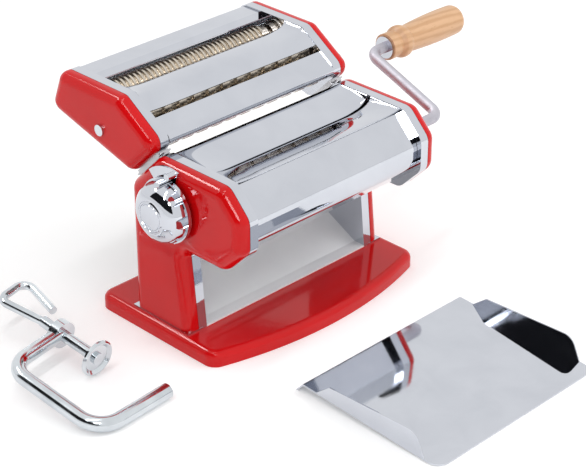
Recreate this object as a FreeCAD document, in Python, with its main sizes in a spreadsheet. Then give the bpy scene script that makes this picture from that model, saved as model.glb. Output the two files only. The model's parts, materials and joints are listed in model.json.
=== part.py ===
import FreeCAD, Part
import math
import os
from types import SimpleNamespace

import Sketcher

# A hand-cranked pasta roller with a slide-on double cutter, its table clamp and its tray.
# Millimetres. X runs along the rollers towards the crank, Y towards the back, Z up.
# The origin is on the underside of the base, midway between the side plates.

# Driving sizes
SIZES = {
    # base
    "base_margin": 5.7,
    "base_front": 66.5,
    "base_front_corner": 50.0,
    "base_rear": 66.0,
    "base_height": 11.0,
    "base_corner": 10.0,
    "base_edge": 5.0,
    "base_wall": 1.5,
    # side plates and casings
    "roller_end_gap": 2.0,
    "plate_wall": 1.2,
    "flange_depth": 7.0,
    "foot_reach": 17.0,
    "head_rise": 29.0,
    "head_front": 55.0,
    "snout_front": 72.5,
    "snout_rise": 11.0,
    "snout_drop": 12.0,
    "head_low": 54.0,
    "head_drop": 31.0,
    "leg_front_top": 15.5,
    "leg_front_foot": 21.5,
    "plate_rear": 34.0,
    "shoulder_rise": 3.0,
    "plate_corner": 10.0,
    "throat_corner": 6.0,
    "casing_gap": 0.3,
    "casing_depth": 9.0,
    "casing_edge": 8.0,
    "casing_wall": 1.2,
    # sheet covers between the plates
    "cover_wall": 1.2,
    "cover_gap": 0.3,
    "cover_inset": 3.5,
    "cover_curl_rear": 52.0,
    "cover_curl_drop": 25.0,
    "cover_bend": 12.0,
    "hopper_slit": 5.0,
    "hopper_slit_rise": 21.0,
    "hopper_edge_rise": 27.0,
    "hopper_round": 5.0,
    "rear_cover_drop": 16.0,
    "chute_front": 12.0,
    "chute_rear": 32.0,
    "chute_rise": 23.5,
    "chute_lip": 9.5,
    # smooth rollers
    "roller_radius": 14.0,
    "roller_length": 150.0,
    "roller_height": 103.0,
    "front_roller_y": -39.0,
    "sheet_gap": 2.2,
    "sheet_gap_least": 0.2,
    "journal_radius": 5.0,
    "drive_radius": 6.5,
    "running_gap": 0.04,
    "bush_wall": 2.5,
    "bush_length": 5.0,
    "block_width": 16.0,
    "block_above": 9.0,
    "block_below": 26.0,
    "block_depth": 4.2,
    "guide_height": 3.0,
    "bar_height": 6.0,
    "bar_depth": 6.0,
    "bar_setback": 1.0,
    "scraper_wall": 1.2,
    "scraper_gap": 0.3,
    "gear_width": 5.6,
    "gear_module": 2.0,
    "gear_teeth": 14,
    "tooth_tip": 1.5,
    "tooth_foot": 3.0,
    # thickness regulator
    "cam_least": 8.0,
    "cam_width": 4.0,
    "follower_depth": 4.0,
    "follower_height": 2.0,
    "cam_sweep": 300.0,
    "regulator_radius": 4.0,
    "regulator_square": 5.6,
    "dial_radius": 22.5,
    "dial_rim": 2.8,
    "dial_depth": 15.5,
    "dial_face": 11.4,
    "dial_gap": 3.2,
    "dial_pull": 4.0,
    "spring_least": 2.2,
    "dial_flutes": 8,
    "flute_radius": 5.2,
    "dial_floor": 3.0,
    "dial_bore": 8.0,
    "spring_wire": 1.0,
    "index_wall": 1.5,
    "index_inside": 12.0,
    "index_outside": 29.2,
    "index_from": 47.0,
    "index_to": 106.0,
    "index_post_radius": 2.4,
    "index_post_height": 6.5,
    "index_post_angle": 100.0,
    # crank
    "crank_radius": 4.0,
    "crank_reach": 73.0,
    "crank_tilt": 21.4,
    "crank_bend": 8.0,
    "crank_out": 40.7,
    "socket_flats": 7.0,
    "socket_depth": 16.0,
    "socket_proud": 3.5,
    "grip_start": 16.5,
    "grip_length": 79.0,
    "grip_radius": 11.3,
    "grip_neck": 9.2,
    "grip_bead": 11.8,
    "grip_collar": 10.0,
    "ferrule_radius": 8.4,
    # cutter attachment
    "cutter_rise": 60.5,
    "cutter_top_front": 42.6,
    "cutter_top_rear": 104.4,
    "cutter_rear": 115.0,
    "cutter_rear_rise": 34.0,
    "cutter_heel": 108.0,
    "cutter_heel_rise": 29.0,
    "cutter_low_rise": 9.0,
    "cutter_slope": 33.4,
    "cutter_corner": 8.2,
    "cap_edge": 7.4,
    "rail_gap": 4.0,
    "rail_head": 7.0,
    "rail_stem": 3.4,
    "rail_stem_height": 1.6,
    "rail_head_height": 1.0,
    "runner_wall": 1.1,
    "cutter_spread": 18.0,
    "fine_front_y": 62.0,
    "fine_rise": 43.0,
    "wide_front_y": 25.45,
    "wide_rise": 34.35,
    "disc_radius": 9.6,
    "disc_core": 7.6,
    "disc_play": 0.3,
    "disc_share": 0.96,
    "fine_discs": 36,
    "wide_discs": 11,
    "cutter_journal": 4.0,
    "cutter_module": 1.5,
    "cutter_teeth": 12,
    "cutter_tooth_tip": 1.1,
    "cutter_tooth_foot": 2.2,
    "fine_opening": 22.0,
    "wide_slit": 5.4,
    "cap_screw_forward": 1.0,
    "left_cap_screw_drop": 11.0,
    "right_cap_screw_drop": 14.75,
    # fasteners
    "tie_radius": 3.5,
    "post_radius": 3.5,
    "screw_head": 4.0,
    "screw_head_height": 1.8,
    "screw_shank": 2.2,
    "bolt_head": 2.5,
    "bolt_shank": 1.8,
    # table clamp, lying beside the machine
    "clamp_rod": 5.2,
    "clamp_back": 83.0,
    "clamp_arm": 60.5,
    "clamp_bend": 17.0,
    "clamp_screw_place": 49.0,
    "clamp_eye_rise": 5.0,
    "clamp_eye": 9.5,
    "clamp_eye_height": 7.0,
    "clamp_screw_radius": 4.0,
    "clamp_tip_radius": 3.0,
    "clamp_rivet_radius": 4.2,
    "clamp_pad_radius": 13.0,
    "clamp_pad_place": 54.0,
    "clamp_pad_depth": 4.5,
    "clamp_pad_hub": 7.0,
    "clamp_pad_recess": 2.0,
    "clamp_pad_edge": 1.0,
    "clamp_screw_top": 105.0,
    "clamp_handle_wire": 3.0,
    "clamp_handle_bend": 7.0,
    "clamp_handle_rise": 36.5,
    "clamp_handle_lean": 6.7,
    "clamp_handle_span": 28.2,
    "clamp_handle_return": 37.0,
    "clamp_x": -201.6,
    "clamp_y": -58.0,
    "clamp_spin": 4.0,
    "socket_width": 22.0,
    "socket_length": 20.0,
    "socket_setback": 8.0,
    "socket_axis": 9.5,
    "socket_play": 0.3,
    # tray, lying in front of the machine
    "tray_length": 154.8,
    "tray_depth": 116.4,
    "tray_rise": 7.0,
    "tray_lip": 6.5,
    "tray_wall": 1.0,
    "tray_side_rear": 11.0,
    "tray_side_slant": 12.5,
    "tray_side_front": 11.4,
    "tray_side_lean": 8.0,
    "tray_side_low": 15.4,
    "tray_side_high": 18.0,
    "tray_corner": 10.0,
    "tray_floor_corner": 9.0,
    "tray_centre_x": 0.9,
    "tray_rear_y": -112.0,
}


class Size:
    """A number together with the sheet expression that gives it, so that features can be bound to it."""

    def __init__(self, value, text):
        self.value = float(value)
        self.text = text

    def __add__(self, other):
        other = as_size(other)
        return Size(self.value + other.value, f"({self.text} + {other.text})")

    def __sub__(self, other):
        other = as_size(other)
        return Size(self.value - other.value, f"({self.text} - {other.text})")

    def __mul__(self, other):
        other = as_size(other)
        return Size(self.value * other.value, f"({self.text} * {other.text})")

    def __truediv__(self, other):
        other = as_size(other)
        return Size(self.value / other.value, f"({self.text} / {other.text})")

    def __neg__(self):
        return Size(-self.value, f"(0 - {self.text})")

    def __radd__(self, other):
        return as_size(other) + self

    def __rsub__(self, other):
        return as_size(other) - self

    def __rmul__(self, other):
        return as_size(other) * self


def as_size(number):
    """A plain number as a Size; a Size stays as it is."""
    if isinstance(number, Size):
        return number
    return Size(number, f"({float(number):.9f})")


def cosine(angle):
    """Cosine of an angle in degrees."""
    angle = as_size(angle)
    return Size(math.cos(math.radians(angle.value)), f"cos({angle.text} * 1 deg)")


def sine(angle):
    """Sine of an angle in degrees."""
    angle = as_size(angle)
    return Size(math.sin(math.radians(angle.value)), f"sin({angle.text} * 1 deg)")


doc = FreeCAD.newDocument("pasta_roller")
sheet = doc.addObject("Spreadsheet::Sheet", "Sizes")
for row, (alias, number) in enumerate(SIZES.items(), start=1):
    sheet.set(f"A{row}", alias)
    sheet.set(f"B{row}", str(number))
    sheet.setAlias(f"B{row}", alias)
doc.recompute()
dim = SimpleNamespace(**{alias: Size(sheet.get(alias), f"Sizes.{alias}") for alias in SIZES})

ORIGIN_POINT = -1
TINY = 1e-4
SIDES = {"left": -1, "right": 1}
HALF_ROOT = math.sqrt(0.5)
nodes = []


# Drawing helpers

def bind(thing, place, size):
    """Ties one property of a document object to a size."""
    thing.setExpression(place, as_size(size).text)


def put(thing, x=0, y=0, z=0):
    """Moves a piece to a place given in sizes."""
    for letter, size in (("x", x), ("y", y), ("z", z)):
        bind(thing, f"Placement.Base.{letter}", size)


def turn(thing, axis, angle):
    """Turns a piece about one of its own axes by an angle in degrees."""
    thing.Placement = FreeCAD.Placement(FreeCAD.Vector(), FreeCAD.Rotation(FreeCAD.Vector(*axis), angle))


def keep(thing):
    """Lists a finished piece for writing."""
    nodes.append(thing)
    return thing


def new_body(label):
    body = doc.addObject("PartDesign::Body", label)
    body.Label = label
    return body


def origin_feature(body, role):
    return next(feature for feature in body.Origin.OriginFeatures if feature.Role == role)


def new_sketch(body, plane, lift=0):
    """A sketch on one of the body's own origin planes, lifted along the plane's normal."""
    sketch = body.newObject("Sketcher::SketchObject", f"{body.Label}_sketch")
    sketch.AttachmentSupport = [(origin_feature(body, plane), "")]
    sketch.MapMode = "FlatFace"
    bind(sketch, "AttachmentOffset.Base.z", lift)
    return sketch


def pin_point(sketch, geometry, end, place):
    """Fixes one point of a sketch at a place given in sizes."""
    for kind, size in zip(("DistanceX", "DistanceY"), place):
        size = as_size(size)
        number = sketch.addConstraint(
            Sketcher.Constraint(kind, ORIGIN_POINT, 1, geometry, end, size.value))
        bind(sketch, f"Constraints[{number}]", size)


def flat_point(place):
    return FreeCAD.Vector(as_size(place[0]).value, as_size(place[1]).value, 0)


def outline(sketch, corners, arcs=None, closed=True):
    """Straight sides from corner to corner; arcs names the sides that bulge through a middle point."""
    arcs = arcs or {}
    count = len(corners) if closed else len(corners) - 1
    ends = []
    for side in range(count):
        start = flat_point(corners[side])
        finish = flat_point(corners[(side + 1) % len(corners)])
        if side in arcs:
            arc = Part.Arc(start, flat_point(arcs[side]), finish)
            geometry = sketch.addGeometry(arc, False)
            forward = sketch.getPoint(geometry, 1).distanceToPoint(start) < TINY
            ends.append((geometry, 1, 2) if forward else (geometry, 2, 1))
        else:
            geometry = sketch.addGeometry(Part.LineSegment(start, finish), False)
            ends.append((geometry, 1, 2))
    for side in range(count if closed else count - 1):
        here = ends[side]
        following = ends[(side + 1) % count]
        sketch.addConstraint(
            Sketcher.Constraint("Coincident", here[0], here[2], following[0], following[1]))
    for side in range(count):
        pin_point(sketch, ends[side][0], ends[side][1], corners[side])
    if not closed:
        pin_point(sketch, ends[-1][0], ends[-1][2], corners[-1])
    for side, middle in arcs.items():
        point = sketch.addGeometry(Part.Point(flat_point(middle)), True)
        pin_point(sketch, point, 1, middle)
        sketch.addConstraint(Sketcher.Constraint("PointOnObject", point, 1, ends[side][0]))


def bent_route(points, radius):
    """A route of straight runs with a round bend at each inner point, as corners and bulging sides."""
    places = [flat_point(point) for point in points]
    bend = as_size(radius).value
    corners = [points[0]]
    arcs = {}
    for before, here, after in zip(places, places[1:], places[2:]):
        come = (before - here).normalize()
        leave = (after - here).normalize()
        half_angle = come.getAngle(leave) / 2
        back_off = bend / math.tan(half_angle)
        middle = here + (come + leave).normalize() * (bend / math.sin(half_angle) - bend)
        arcs[len(corners)] = (middle.x, middle.y)
        for direction in (come, leave):
            place = here + direction * back_off
            corners.append((place.x, place.y))
    corners.append(points[-1])
    return corners, arcs


def add_pipe(body, points, bend, radius):
    """A round rod along a bent route in the body's XY plane that sets off along X."""
    corners, arcs = bent_route(points, bend)
    path = new_sketch(body, "XY_Plane")
    outline(path, corners, arcs, closed=False)
    ring = new_sketch(body, "YZ_Plane", points[0][0])
    circle(ring, (0, points[0][1]), radius)
    pipe = body.newObject("PartDesign::AdditivePipe", f"{body.Label}_pipe")
    pipe.Profile = ring
    pipe.Spine = path
    doc.recompute()
    return pipe


def circle(sketch, centre, radius):
    radius = as_size(radius)
    geometry = sketch.addGeometry(
        Part.Circle(flat_point(centre), FreeCAD.Vector(0, 0, 1), radius.value), False)
    number = sketch.addConstraint(Sketcher.Constraint("Radius", geometry, radius.value))
    bind(sketch, f"Constraints[{number}]", radius)
    pin_point(sketch, geometry, 3, centre)


def feature(body, kind, sketch, length=None, reverse=False):
    """A pad or a pocket of a sketch; with no length a pocket goes through everything both ways."""
    made = body.newObject(f"PartDesign::{kind}", f"{body.Label}_{kind.lower()}")
    made.Profile = sketch
    if length is None:
        made.Type = "ThroughAll"
        made.SideType = "Symmetric"
    else:
        bind(made, "Length", length)
        made.Reversed = reverse
    before = body.Shape.Volume if body.Shape and not body.Shape.isNull() else 0
    doc.recompute()
    after = made.Shape.Volume
    if kind == "Pocket" and after > before - TINY:
        raise ValueError(f"{body.Label}: a pocket cuts nothing")
    return made


def prism(label, plane, corners, start, depth, reverse=False, arcs=None):
    """A body padded from one outline."""
    body = new_body(label)
    add_prism(body, plane, corners, start, depth, reverse, arcs)
    return body


def add_prism(body, plane, corners, start, depth, reverse=False, arcs=None):
    sketch = new_sketch(body, plane, start)
    outline(sketch, corners, arcs)
    return feature(body, "Pad", sketch, depth, reverse)


def add_disc(body, plane, centre, radius, start, depth, reverse=False):
    sketch = new_sketch(body, plane, start)
    circle(sketch, centre, radius)
    return feature(body, "Pad", sketch, depth, reverse)


def cut_holes(body, plane, centres, radius):
    """Round holes through the whole body."""
    sketch = new_sketch(body, plane)
    for centre in centres:
        circle(sketch, centre, radius)
    return feature(body, "Pocket", sketch)


def cut_outline(body, plane, corners, start=0, depth=None, reverse=False):
    sketch = new_sketch(body, plane, start)
    outline(sketch, corners)
    return feature(body, "Pocket", sketch, depth, reverse)


def edges_where(shape, test):
    return [f"Edge{number}" for number, edge in enumerate(shape.Edges, start=1) if test(edge)]


def faces_where(shape, test):
    return [f"Face{number}" for number, face in enumerate(shape.Faces, start=1) if test(face)]


def all_points(edge, test):
    return all(test(vertex.Point) for vertex in edge.Vertexes)


def round_edges(body, radius, test):
    """Rounds the edges of the body that pass a test."""
    base = body.Tip
    rounded = body.newObject("PartDesign::Fillet", f"{body.Label}_fillet")
    rounded.Base = (base, edges_where(base.Shape, test))
    bind(rounded, "Radius", radius)
    doc.recompute()
    return rounded


def round_corners(body, radius, corners, first=1, second=2):
    """Rounds the edges that stand on the given corners of an outline; first and second are its axes."""
    places = [(as_size(corner[0]).value, as_size(corner[1]).value) for corner in corners]

    def on_corner(edge):
        return any(
            all_points(edge, lambda point: abs(point[first] - a) < TINY and abs(point[second] - b) < TINY)
            for a, b in places)

    return round_edges(body, radius, on_corner)


def hollow(body, wall, test):
    """Leaves a wall inside the body's faces and opens the faces that pass a test."""
    base = body.Tip
    shell = body.newObject("PartDesign::Thickness", f"{body.Label}_shell")
    shell.Base = (base, faces_where(base.Shape, test))
    bind(shell, "Value", wall)
    shell.Reversed = True
    shell.Mode = 0
    shell.Join = 0
    doc.recompute()
    return shell


def flat_at(axis, size):
    """A test for a flat face square to one axis at a given place."""
    place = as_size(size).value

    def test(face):
        box = face.BoundBox
        low, high = ((box.XMin, box.XMax), (box.YMin, box.YMax), (box.ZMin, box.ZMax))[axis]
        return abs(low - place) < TINY and abs(high - place) < TINY

    return test


def turned(label, profile, arcs=None):
    """A body of revolution about X; the profile is (x, radius)."""
    body = new_body(label)
    sketch = new_sketch(body, "XY_Plane")
    outline(sketch, profile, arcs)
    spun = body.newObject("PartDesign::Revolution", f"{label}_revolution")
    spun.Profile = sketch
    spun.ReferenceAxis = (sketch, ["H_Axis"])
    spun.Angle = 360
    doc.recompute()
    return body


def cylinder(label, radius, length, x, y, z):
    """A plain round bar along X, from x to x + length."""
    bar = doc.addObject("Part::Cylinder", label)
    bind(bar, "Radius", radius)
    bind(bar, "Height", length)
    turn(bar, (0, 1, 0), 90)
    put(bar, x, y, z)
    return bar


def upright(label, radius, height, x, y, z):
    """A plain round bar along Z."""
    bar = doc.addObject("Part::Cylinder", label)
    bind(bar, "Radius", radius)
    bind(bar, "Height", height)
    put(bar, x, y, z)
    return bar


def block(label, length, depth, height, x, y, z):
    """A plain box from its lowest corner."""
    box = doc.addObject("Part::Box", label)
    for place, size in (("Length", length), ("Width", depth), ("Height", height)):
        bind(box, place, size)
    put(box, x, y, z)
    return box


def cut(label, base, tool):
    made = doc.addObject("Part::Cut", label)
    made.Base = base
    made.Tool = tool
    return made


def fuse(label, base, tool):
    made = doc.addObject("Part::Fuse", label)
    made.Base = base
    made.Tool = tool
    return made


def group(label, members):
    """Several separate solids that share one node."""
    made = doc.addObject("Part::Compound", label)
    made.Label = label
    made.Links = members
    return keep(made)


def pattern(body, kind, source, axis_role, count, length=None):
    """Repeats one feature along or around one of the body's own axes."""
    made = body.newObject(f"PartDesign::{kind}", f"{body.Label}_pattern")
    made.Originals = [source]
    axis = (origin_feature(body, axis_role), [""])
    if kind == "PolarPattern":
        made.Axis = axis
        made.Angle = 360
    else:
        made.Direction = axis
        bind(made, "Length", length)
    bind(made, "Occurrences", count)
    body.Tip = made
    doc.recompute()
    return made


# Places that several pieces share
# Heights follow the rollers' axes, and the plates stand just off the rollers' ends.
head_top = dim.roller_height + dim.head_rise
snout_top = dim.roller_height + dim.snout_rise
snout_bottom = dim.roller_height - dim.snout_drop
head_bottom = dim.roller_height - dim.head_drop
shoulder = dim.roller_height + dim.shoulder_rise
cover_curl_bottom = dim.roller_height - dim.cover_curl_drop
hopper_slit_height = dim.roller_height + dim.hopper_slit_rise
hopper_edge_height = dim.roller_height + dim.hopper_edge_rise
rear_cover_bottom = dim.roller_height - dim.rear_cover_drop
cutter_top = dim.roller_height + dim.cutter_rise
cutter_rear_low = dim.roller_height + dim.cutter_rear_rise
cutter_heel_height = dim.roller_height + dim.cutter_heel_rise
cutter_bottom = dim.roller_height + dim.cutter_low_rise
fine_height = dim.roller_height + dim.fine_rise
wide_height = dim.roller_height + dim.wide_rise
half_gap = dim.roller_length / 2 + dim.roller_end_gap
web_out = half_gap + dim.plate_wall
flange_out = half_gap + dim.flange_depth
casing_in = flange_out + dim.casing_gap
casing_out = casing_in + dim.casing_depth
casing_back = casing_out - dim.casing_wall
cover_end = half_gap - dim.cover_gap
top_rear = dim.plate_rear - (head_top - shoulder)
rear_roller_y = dim.front_roller_y + dim.roller_radius * 2 + dim.sheet_gap
nip_y = dim.front_roller_y + dim.roller_radius + dim.sheet_gap / 2
gap_travel = dim.sheet_gap - dim.sheet_gap_least


def mirrored(side, size):
    """An x place on the left or right side of the machine."""
    return size if side > 0 else -size


# Base

def make_base():
    half = casing_out + dim.base_margin
    corners = [(-half, -dim.base_front_corner), (half, -dim.base_front_corner),
               (half, dim.base_rear), (-half, dim.base_rear)]
    bow = {0: (0, -dim.base_front)}
    body = prism("base_plate", "XY_Plane", corners, 0, dim.base_height, arcs=bow)
    round_corners(body, dim.base_corner, corners, 0, 1)
    top = dim.base_height.value
    round_edges(body, dim.base_edge, lambda edge: all_points(edge, lambda point: abs(point.z - top) < TINY))
    hollow(body, dim.base_wall, flat_at(2, 0))
    holes = [(mirrored(side, bolt_x), y) for side in SIDES.values() for y in bolt_rows]
    cut_holes(body, "XY_Plane", holes, dim.bolt_shank + dim.running_gap)
    return keep(body)


bolt_x = web_out + dim.bolt_head + dim.scraper_gap
bolt_rows = (-dim.leg_front_foot + dim.plate_corner * 1.5, dim.plate_rear - dim.plate_corner * 1.5)


# Side plates and casings

def side_corners(bottom):
    """The outline of a machine side, from the top rear corner round by the front."""
    return [
        (top_rear, head_top),
        (-dim.head_front, head_top),
        (-dim.snout_front, snout_top),
        (-dim.snout_front, snout_bottom),
        (-dim.head_low, head_bottom),
        (-dim.leg_front_top, head_bottom),
        (-dim.leg_front_foot, bottom),
        (dim.plate_rear, bottom),
        (dim.plate_rear, shoulder),
    ]


def rounded_side(label, side, bottom, start, depth):
    corners = side_corners(bottom)
    body = prism(label, "YZ_Plane", corners, mirrored(side, start), depth, reverse=side < 0)
    *head, throat, _front_foot, _rear_foot, shoulder_corner = corners
    round_corners(body, dim.plate_corner, [*head, shoulder_corner])
    round_corners(body, dim.throat_corner, [throat])
    return body


def make_side_plate(name, side):
    """A pressed plate with a flange turned outwards all round and a longer foot to stand on."""
    body = rounded_side(f"{name}_side_plate", side, dim.base_height, half_gap, dim.flange_depth)
    hollow(body, dim.plate_wall, flat_at(0, mirrored(side, flange_out)))
    foot = [(-dim.leg_front_foot, dim.base_height), (dim.plate_rear, dim.base_height),
            (dim.plate_rear, dim.base_height + dim.plate_wall),
            (-dim.leg_front_foot, dim.base_height + dim.plate_wall)]
    reach = dim.foot_reach - dim.flange_depth / 2
    add_prism(body, "YZ_Plane", foot, mirrored(side, half_gap + dim.flange_depth / 2), reach, side < 0)
    cut_holes(body, "YZ_Plane", [(dim.front_roller_y, dim.roller_height)], front_bush_out)
    slot_half = dim.journal_radius + dim.scraper_gap * 2
    cut_outline(body, "YZ_Plane", [
        (rear_roller_y - gap_travel - slot_half, dim.roller_height - slot_half),
        (rear_roller_y + slot_half, dim.roller_height - slot_half),
        (rear_roller_y + slot_half, dim.roller_height + slot_half),
        (rear_roller_y - gap_travel - slot_half, dim.roller_height + slot_half)])
    play = dim.scraper_gap * 2
    cut_outline(body, "YZ_Plane", [
        (bar_front - gap_travel - play, bar_low - play),
        (bar_front + dim.bar_depth + play, bar_low - play),
        (bar_front + dim.bar_depth + play, bar_low + dim.bar_height + play),
        (bar_front - gap_travel - play, bar_low + dim.bar_height + play)])
    sketch = new_sketch(body, "XY_Plane")
    for y in bolt_rows:
        circle(sketch, (mirrored(side, bolt_x), y), dim.bolt_shank + dim.running_gap)
    feature(body, "Pocket", sketch, dim.base_height + dim.plate_wall * 2, reverse=True)
    return keep(body)


def soft_shell(body, side, edge, floor=None):
    """Hollows a casing from its inner side and rounds its outer face's rim, inside and then outside."""
    hollow(body, dim.casing_wall, flat_at(0, mirrored(side, casing_in)))
    rims = (casing_back, edge - dim.casing_wall, dim.casing_wall), (casing_out, edge, as_size(0))
    for face, radius, inset in rims:
        place = mirrored(side, face).value
        low = None if floor is None else (floor + inset).value

        def on_rim(rim):
            stands_on_floor = low is not None and all_points(rim, lambda point: abs(point.z - low) < TINY)
            return all_points(rim, lambda point: abs(point.x - place) < TINY) and not stands_on_floor

        round_edges(body, radius, on_rim)


def make_casing(name, side):
    """An enamelled shell over a side plate, rounded all round and standing on the plate's foot."""
    bottom = dim.base_height + dim.plate_wall
    casing = rounded_side(f"{name}_casing", side, bottom, casing_in, dim.casing_depth)
    soft_shell(casing, side, dim.casing_edge, bottom)
    if side < 0:
        cut_holes(casing, "YZ_Plane", [(rear_roller_y, dim.roller_height)], regulator_bush_out)
    else:
        cut_holes(casing, "YZ_Plane", [(dim.front_roller_y, dim.roller_height)], drive_hole)
    keep(casing)


drive_hole = dim.drive_radius + dim.scraper_gap * 2
front_bush_out = dim.drive_radius + dim.bush_wall
regulator_bush_out = dim.regulator_radius + dim.bush_wall
bar_front = rear_roller_y + dim.block_width / 2 - dim.bar_depth - dim.bar_setback
bar_low = dim.roller_height - dim.block_below


def make_frame_hardware():
    """Tie rods, posts for the casings, and the bolts that hold the plates to the base."""
    tie_places = [(top_rear - dim.tie_radius * 1.8, head_top - dim.tie_radius * 2.4),
                  (-dim.snout_front + dim.tie_radius * 3.4, dim.roller_height),
                  (dim.plate_rear - dim.tie_radius * 3, head_bottom - dim.tie_radius * 4)]
    rods = [cylinder(f"tie_rod_{number}", dim.tie_radius, half_gap * 2, -half_gap, y, z)
            for number, (y, z) in enumerate(tie_places)]
    group("tie_rods", rods)
    post_places = [(-dim.snout_front + dim.post_radius * 3.6, dim.roller_height),
                   (dim.plate_rear / 3, head_bottom - dim.post_radius * 8),
                   (dim.plate_rear - dim.post_radius * 3.4, shoulder - dim.post_radius * 2)]
    posts = []
    length = casing_back - web_out
    for name, side in SIDES.items():
        start = web_out if side > 0 else -casing_back
        for number, (y, z) in enumerate(post_places):
            posts.append(cylinder(f"{name}_post_{number}", dim.post_radius, length, start, y, z))
    group("casing_posts", posts)
    bolts = []
    foot_top = dim.base_height + dim.plate_wall
    for name, side in SIDES.items():
        for number, y in enumerate(bolt_rows):
            x = mirrored(side, bolt_x)
            label = f"{name}_bolt_{number}"
            head = upright(f"{label}_head", dim.bolt_head, dim.screw_head_height, x, y, foot_top)
            shank = upright(f"{label}_shank", dim.bolt_shank, dim.base_height / 2, x, y,
                            foot_top - dim.base_height / 2)
            nut = upright(f"{label}_nut", dim.bolt_head, dim.screw_head_height, x, y,
                          dim.base_height - dim.base_wall - dim.screw_head_height)
            bolts.append(fuse(label, fuse(f"{label}_body", head, shank), nut))
    group("base_bolts", bolts)


# Sheet covers between the plates

def bent_sheet(label, corners, bend, bent):
    """A bent cover: the outline's last side and both ends are open."""
    body = prism(label, "YZ_Plane", corners, -cover_end, cover_end * 2)
    if bent:
        round_corners(body, bend, [corners[number] for number in bent])
    ends = flat_at(0, -cover_end), flat_at(0, cover_end)
    back = {(round(as_size(y).value, 3), round(as_size(z).value, 3)) for y, z in (corners[-1], corners[0])}

    def opened(face):
        places = {(round(vertex.Y, 3), round(vertex.Z, 3)) for vertex in face.Vertexes}
        return any(test(face) for test in ends) or places == back

    hollow(body, dim.cover_wall, opened)
    return keep(body)


def make_front_cover():
    """The bent front sheet: a slope, a rounded nose and a curl that turns under."""
    inset = dim.cover_inset
    corners = [
        (-dim.head_front + inset, head_top - inset),
        (-dim.snout_front + inset, snout_top - inset),
        (-dim.snout_front + inset, snout_bottom + inset),
        (-dim.cover_curl_rear, cover_curl_bottom),
    ]
    bent_sheet("front_cover", corners, dim.cover_bend, [1, 2])


def make_hopper(label, edge_y, slit_y):
    """A sloping feed plate with both ends swept up to the side plates."""
    wall = dim.cover_wall
    corners = [(edge_y, hopper_edge_height), (slit_y, hopper_slit_height),
               (slit_y, hopper_slit_height - wall), (edge_y, hopper_edge_height - wall)]
    body = prism(label, "YZ_Plane", corners, -cover_end, cover_end * 2)
    for side in SIDES.values():
        end = [(edge_y, hopper_edge_height), (slit_y, hopper_edge_height),
               (slit_y, hopper_slit_height - wall), (edge_y, hopper_edge_height - wall)]
        add_prism(body, "YZ_Plane", end, mirrored(side, cover_end), wall, reverse=side > 0)
    inner = (cover_end - wall).value

    def in_the_bend(edge):
        inside = all_points(edge, lambda point: abs(abs(point.x) - inner) < TINY)
        sloping = abs(edge.Vertexes[0].Z - edge.Vertexes[-1].Z) > 1
        upper = max(vertex.Z for vertex in edge.Vertexes) > hopper_edge_height.value - TINY
        return inside and sloping and upper and abs(edge.Vertexes[0].Y - edge.Vertexes[-1].Y) > 1

    round_edges(body, dim.hopper_round, in_the_bend)
    return keep(body)


def make_sheets():
    make_front_cover()
    make_hopper("front_hopper_plate", -dim.head_front + dim.cover_inset, nip_y - dim.hopper_slit / 2)
    make_hopper("rear_hopper_plate", top_rear - dim.cover_wall * 2, nip_y + dim.hopper_slit / 2)
    keep(block("rear_cover", cover_end * 2, dim.cover_wall, hopper_edge_height - rear_cover_bottom,
               -cover_end, top_rear - dim.cover_wall, rear_cover_bottom))
    front = -dim.chute_front
    wall = dim.cover_wall
    low = dim.base_height
    slant = wall * 1.15
    chute = [(front - dim.chute_lip, low), (front + slant, low),
             (dim.chute_rear, low + dim.chute_rise - slant), (dim.chute_rear, low + dim.chute_rise),
             (front, low + wall), (front - dim.chute_lip, low + wall)]
    keep(prism("chute_panel", "YZ_Plane", chute, -half_gap, half_gap * 2))


# Smooth rollers and their drive

def make_gear(label, module, teeth, tip, foot, bore, width, x, y, z, angle):
    """A spur gear with slim teeth, which stay in mesh as the roller gap changes."""
    body = new_body(label)
    root = module * teeth / 2 - module * 1.15
    crown = module * teeth / 2 + module
    add_disc(body, "YZ_Plane", (0, 0), root, 0, width)
    tooth = add_prism(body, "YZ_Plane", [
        (root - module / 4, -foot / 2), (crown, -tip / 2), (crown, tip / 2), (root - module / 4, foot / 2)],
        0, width)
    pattern(body, "PolarPattern", tooth, "X_Axis", teeth)
    cut_holes(body, "YZ_Plane", [(0, 0)], bore + dim.running_gap / 2)
    turn(body, (1, 0, 0), angle)
    put(body, x, y, z)
    return keep(body)


def hexagon(flats, angle=0):
    """Six corners about the origin, turned by an angle."""
    reach = flats / cosine(30) / 2
    turns = [angle + 60 * corner for corner in range(6)]
    return [(reach * cosine(place), reach * sine(place)) for place in turns]


def drill_socket(body, end, depth, angle=0):
    """A six-sided socket for the crank in the right end of a shaft."""
    sketch = new_sketch(body, "YZ_Plane", end)
    outline(sketch, hexagon(dim.socket_flats + dim.running_gap * 2, angle))
    return feature(body, "Pocket", sketch, depth)


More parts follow.
